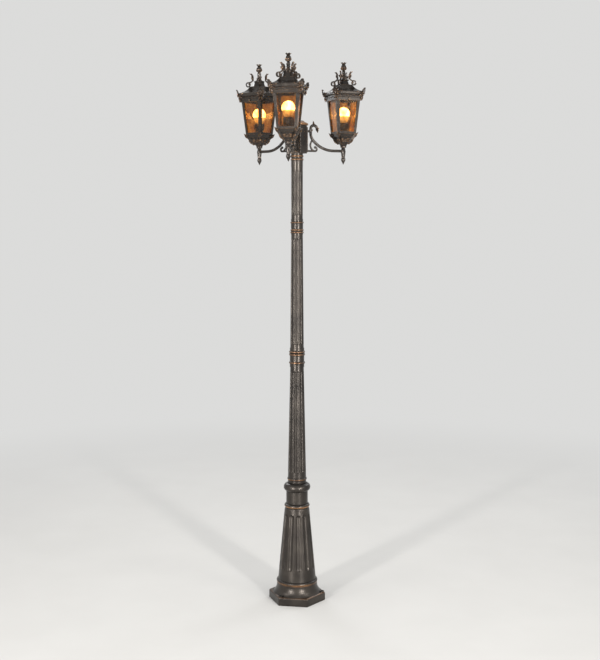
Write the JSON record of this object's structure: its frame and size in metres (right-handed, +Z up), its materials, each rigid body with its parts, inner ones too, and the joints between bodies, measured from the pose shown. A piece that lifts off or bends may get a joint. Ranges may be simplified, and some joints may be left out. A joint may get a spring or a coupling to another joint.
{
  "type": "garden lamp post",
  "caption": "Tall fluted garden lamp post with scrolled arms that carry square glazed lanterns, for bolting down outdoors.",
  "frame": {"origin": "centre of the base's underside, on the post's axis", "axes": "+Z up along the post; -Y points along the front arm"},
  "size_m": [0.5622, 0.4911, 2.3203],
  "materials": {
    "bronze_casting": "dark bronze paint over cast aluminium, rubbed to copper on beads and raised edges",
    "amber_glass": "mottled amber glass",
    "lamp_globe": "frosted, lit warm white",
    "lamp_housing": "cream gloss",
    "lamp_cap": "bright nickel look",
    "holder_plastic": "black moulded",
    "fitting_brass": "turned",
    "screw_steel": "bronzed",
    "gasket_rubber": "matte",
    "terminal_plastic": "moulded"
  },
  "bodies": {
    "post": {"base_pedestal": "bronze_casting", "lower_shaft": "bronze_casting", "lower_coupling": "bronze_casting", "middle_shaft": "bronze_casting", "upper_coupling": "bronze_casting", "upper_shaft": "bronze_casting", "neck_collar": "bronze_casting", "arm_hub": "bronze_casting", "hub_gasket": "gasket_rubber", "arm_screws": "screw_steel", "earth_screw": "fitting_brass", "terminal_block": "terminal_plastic", "nipple_nuts": "fitting_brass", "arm_front": "bronze_casting", "drop_finial_front": "bronze_casting", "cup_front": "bronze_casting", "frame_front": "bronze_casting", "glass_front": "amber_glass", "clips_front": "screw_steel", "nipple_front": "fitting_brass", "lampholder_front": "holder_plastic", "arm_right": "bronze_casting", "drop_finial_right": "bronze_casting", "cup_right": "bronze_casting", "frame_right": "bronze_casting", "glass_right": "amber_glass", "clips_right": "screw_steel", "nipple_right": "fitting_brass", "lampholder_right": "holder_plastic", "arm_left": "bronze_casting", "drop_finial_left": "bronze_casting", "cup_left": "bronze_casting", "frame_left": "bronze_casting", "glass_left": "amber_glass", "clips_left": "screw_steel", "nipple_left": "fitting_brass", "lampholder_left": "holder_plastic"},
    "roof_front": {"roof_front": "bronze_casting", "roof_scrolls_front": "bronze_casting", "finial_front": "bronze_casting", "roof_screws_front": "screw_steel"},
    "bulb_front": {"bulb_globe_front": "lamp_globe", "bulb_housing_front": "lamp_housing", "bulb_cap_front": "lamp_cap"},
    "roof_right": {"roof_right": "bronze_casting", "roof_scrolls_right": "bronze_casting", "finial_right": "bronze_casting", "roof_screws_right": "screw_steel"},
    "bulb_right": {"bulb_globe_right": "lamp_globe", "bulb_housing_right": "lamp_housing", "bulb_cap_right": "lamp_cap"},
    "roof_left": {"roof_left": "bronze_casting", "roof_scrolls_left": "bronze_casting", "finial_left": "bronze_casting", "roof_screws_left": "screw_steel"},
    "bulb_left": {"bulb_globe_left": "lamp_globe", "bulb_housing_left": "lamp_housing", "bulb_cap_left": "lamp_cap"},
    "hub_lid": {"hub_cap": "bronze_casting", "hub_cap_screws": "screw_steel"}
  },
  "joints": [
    {"name": "roof_lift_front", "type": "slide", "parent": "post", "child": "roof_front", "axis": [0, 0, 1], "range_m": [0, 0.15]},
    {"name": "bulb_turn_front", "type": "hinge", "parent": "post", "child": "bulb_front", "pos_m": [0, -0.2113, 2.07], "axis": [0, 0, 1], "range_deg": [0, 1080]},
    {"name": "roof_lift_right", "type": "slide", "parent": "post", "child": "roof_right", "axis": [0, 0, 1], "range_m": [0, 0.15]},
    {"name": "bulb_turn_right", "type": "hinge", "parent": "post", "child": "bulb_right", "pos_m": [0.18299, 0.10565, 2.07], "axis": [0, 0, 1], "range_deg": [0, 1080]},
    {"name": "roof_lift_left", "type": "slide", "parent": "post", "child": "roof_left", "axis": [0, 0, 1], "range_m": [0, 0.15]},
    {"name": "bulb_turn_left", "type": "hinge", "parent": "post", "child": "bulb_left", "pos_m": [-0.18299, 0.10565, 2.07], "axis": [0, 0, 1], "range_deg": [0, 1080]},
    {"name": "hub_lid_lift", "type": "slide", "parent": "post", "child": "hub_lid", "axis": [0, 0, 1], "range_m": [0, 0.06]}
  ]
}
